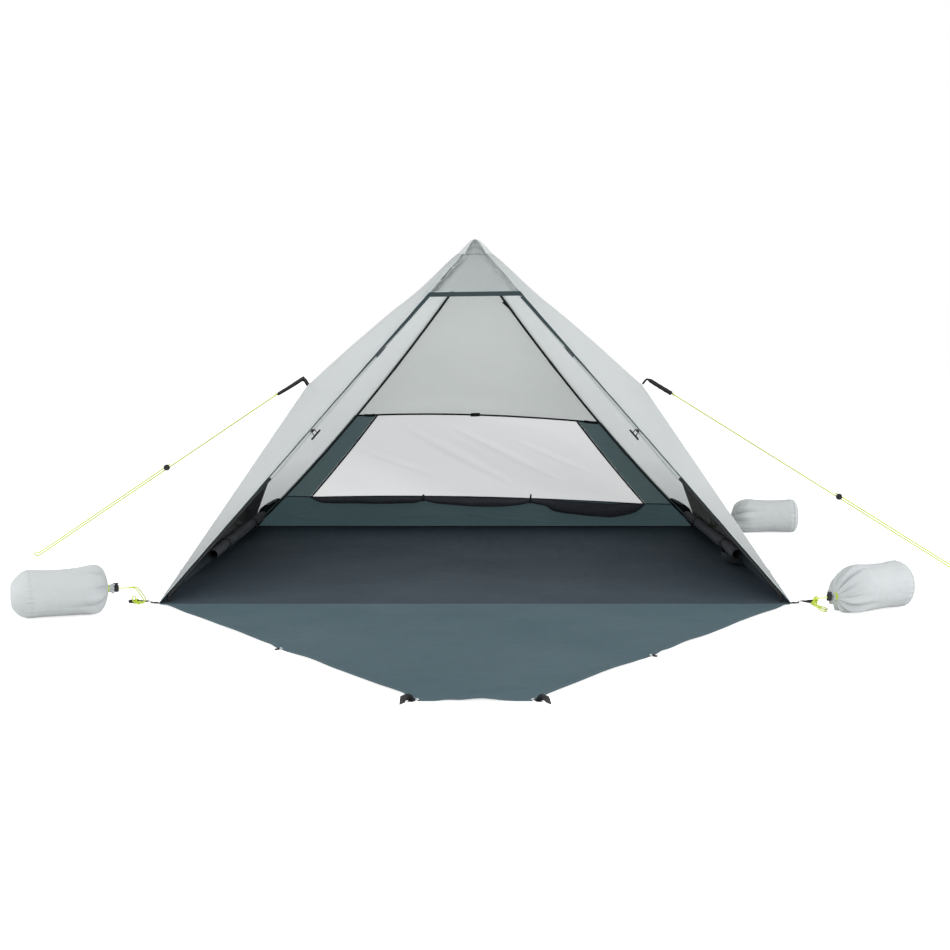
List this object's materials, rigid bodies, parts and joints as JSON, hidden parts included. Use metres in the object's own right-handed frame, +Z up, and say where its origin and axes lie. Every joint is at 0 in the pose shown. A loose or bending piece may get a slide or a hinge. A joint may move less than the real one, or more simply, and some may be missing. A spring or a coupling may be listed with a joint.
{
  "type": "beach tarp shelter",
  "caption": "Pyramid beach shelter with an open visored front, fold-down door panel, rear window, pulled-out side walls, guy lines with sliders and cord-tied sandbags.",
  "frame": {"origin": "on the ground under the peak, in the middle of the square floor", "axes": "+Z up, +X to the right of someone who faces the open front, +Y from the front to the rear wall"},
  "size_m": [3.6358, 3.88, 1.2646],
  "materials": {
    "outer_fabric": "coated polyester, satin",
    "visor_fabric": "coated polyester, matt",
    "teal_fabric": "coated polyester, satin",
    "door_fabric": "coated polyester, satin",
    "dark_fabric": "mesh and binding, matt",
    "window_film": "translucent film",
    "webbing": "woven webbing",
    "cord": "braided cord",
    "sandbag_fabric": "coated polyester, satin",
    "ring_steel": "nickel plated",
    "pole": "glass-fibre tube, satin black",
    "ferrule": "drawn tube",
    "shock_cord": "braided elastic",
    "black_plastic": "moulded, fine texture",
    "plunger_plastic": "moulded"
  },
  "bodies": {
    "shelter": {"visor_panel": "visor_fabric", "front_left_panel": "outer_fabric", "front_right_panel": "outer_fabric", "rear_left_panel": "outer_fabric", "rear_right_panel": "outer_fabric", "side_lower_panels": "outer_fabric", "side_mesh_windows": "dark_fabric", "ground_bands": "teal_fabric", "rear_upper_panel": "outer_fabric", "rear_window_film": "window_film", "window_side_strips": "teal_fabric", "window_head_binding": "dark_fabric", "opening_binding": "teal_fabric", "window_cover_roll": "dark_fabric", "side_cover_rolls": "dark_fabric", "cover_ties": "webbing", "storage_pouch": "teal_fabric", "peak_cap": "outer_fabric", "groundsheet": "teal_fabric", "webbing_loops": "webbing", "corner_rings": "ring_steel", "peak_hub": "black_plastic", "front_left_pole": "pole", "front_right_pole": "pole", "rear_left_pole": "pole", "rear_right_pole": "pole", "pole_ferrules": "ferrule", "pole_tips": "black_plastic", "corner_cups": "black_plastic", "pole_shock_cords": "shock_cord", "pull_out_straps": "webbing", "left_guy_line": "cord", "right_guy_line": "cord", "front_left_sandbag": "sandbag_fabric", "front_right_sandbag": "sandbag_fabric", "rear_left_sandbag": "sandbag_fabric", "rear_right_sandbag": "sandbag_fabric", "front_left_bag_cord": "cord", "front_right_bag_cord": "cord", "rear_left_bag_cord": "cord", "rear_right_bag_cord": "cord", "cord_hooks": "black_plastic"},
    "door": {"door_panel": "door_fabric", "door_tabs": "webbing"},
    "left_edge_ring_body": {"left_edge_ring": "ring_steel"},
    "right_edge_ring_body": {"right_edge_ring": "ring_steel"},
    "left_tip_ring_body": {"left_tip_ring": "ring_steel"},
    "right_tip_ring_body": {"right_tip_ring": "ring_steel"},
    "left_toggle_body": {"left_toggle": "black_plastic"},
    "right_toggle_body": {"right_toggle": "black_plastic"},
    "left_slider_body": {"left_guy_slider": "black_plastic"},
    "right_slider_body": {"right_guy_slider": "black_plastic"},
    "front_left_lock_body": {"front_left_cord_lock": "black_plastic"},
    "front_left_plunger_body": {"front_left_plunger": "plunger_plastic"},
    "front_right_lock_body": {"front_right_cord_lock": "black_plastic"},
    "front_right_plunger_body": {"front_right_plunger": "plunger_plastic"},
    "rear_left_lock_body": {"rear_left_cord_lock": "black_plastic"},
    "rear_left_plunger_body": {"rear_left_plunger": "plunger_plastic"},
    "rear_right_lock_body": {"rear_right_cord_lock": "black_plastic"},
    "rear_right_plunger_body": {"rear_right_plunger": "plunger_plastic"}
  },
  "joints": [
    {"name": "door_hinge", "type": "hinge", "parent": "shelter", "child": "door", "pos_m": [0, -1.056, 0.0015], "axis": [-1, 0, 0], "range_deg": [0, 128]},
    {"name": "left_edge_ring_hinge", "type": "hinge", "parent": "door", "child": "left_edge_ring_body", "pos_m": [-0.55292, -1.79821, 0.00295], "axis": [0.5566, -0.8308, 0], "range_deg": [0, 150]},
    {"name": "right_edge_ring_hinge", "type": "hinge", "parent": "door", "child": "right_edge_ring_body", "pos_m": [0.49195, -1.88922, 0.00295], "axis": [0.5566, 0.8308, 0], "range_deg": [0, 150]},
    {"name": "left_tip_ring_hinge", "type": "hinge", "parent": "door", "child": "left_tip_ring_body", "pos_m": [-0.14615, -2.40539, 0.00295], "axis": [0.5566, -0.8308, 0], "range_deg": [0, 150]},
    {"name": "right_tip_ring_hinge", "type": "hinge", "parent": "door", "child": "right_tip_ring_body", "pos_m": [0.14615, -2.40539, 0.00295], "axis": [0.5566, 0.8308, 0], "range_deg": [0, 150]},
    {"name": "left_toggle_hinge", "type": "hinge", "parent": "shelter", "child": "left_toggle_body", "pos_m": [-0.58079, -0.59491, 0.54824], "axis": [-0.5375, -0.5375, -0.6497], "range_deg": [-20, 60]},
    {"name": "right_toggle_hinge", "type": "hinge", "parent": "shelter", "child": "right_toggle_body", "pos_m": [0.58079, -0.59491, 0.54824], "axis": [-0.5375, 0.5375, 0.6497], "range_deg": [-20, 60]},
    {"name": "left_slider_slide", "type": "slide", "parent": "shelter", "child": "left_slider_body", "axis": [-0.8303, 0.0641, -0.5536], "range_m": [0, 0.35]},
    {"name": "right_slider_slide", "type": "slide", "parent": "shelter", "child": "right_slider_body", "axis": [0.8206, -0.2363, -0.5204], "range_m": [0, 0.35]},
    {"name": "front_left_lock_slide", "type": "slide", "parent": "shelter", "child": "front_left_lock_body", "axis": [0.9848, 0.1736, 0], "range_m": [0, 0.022]},
    {"name": "front_left_plunger_slide", "type": "slide", "parent": "front_left_lock_body", "child": "front_left_plunger_body", "axis": [0, 0, -1], "range_m": [0, 0.0035], "stiffness_N_per_m": 300, "springref_m": -0.004},
    {"name": "front_right_lock_slide", "type": "slide", "parent": "shelter", "child": "front_right_lock_body", "axis": [-0.8572, -0.515, 0], "range_m": [0, 0.022]},
    {"name": "front_right_plunger_slide", "type": "slide", "parent": "front_right_lock_body", "child": "front_right_plunger_body", "axis": [0, 0, -1], "range_m": [0, 0.0035], "stiffness_N_per_m": 300, "springref_m": -0.004},
    {"name": "rear_left_lock_slide", "type": "slide", "parent": "shelter", "child": "rear_left_lock_body", "axis": [0, -1, 0], "range_m": [0, 0.022]},
    {"name": "rear_left_plunger_slide", "type": "slide", "parent": "rear_left_lock_body", "child": "rear_left_plunger_body", "axis": [0, 0, -1], "range_m": [0, 0.0035], "stiffness_N_per_m": 300, "springref_m": -0.004},
    {"name": "rear_right_lock_slide", "type": "slide", "parent": "shelter", "child": "rear_right_lock_body", "axis": [-1, 0, 0], "range_m": [0, 0.022]},
    {"name": "rear_right_plunger_slide", "type": "slide", "parent": "rear_right_lock_body", "child": "rear_right_plunger_body", "axis": [0, 0, -1], "range_m": [0, 0.0035], "stiffness_N_per_m": 300, "springref_m": -0.004}
  ]
}
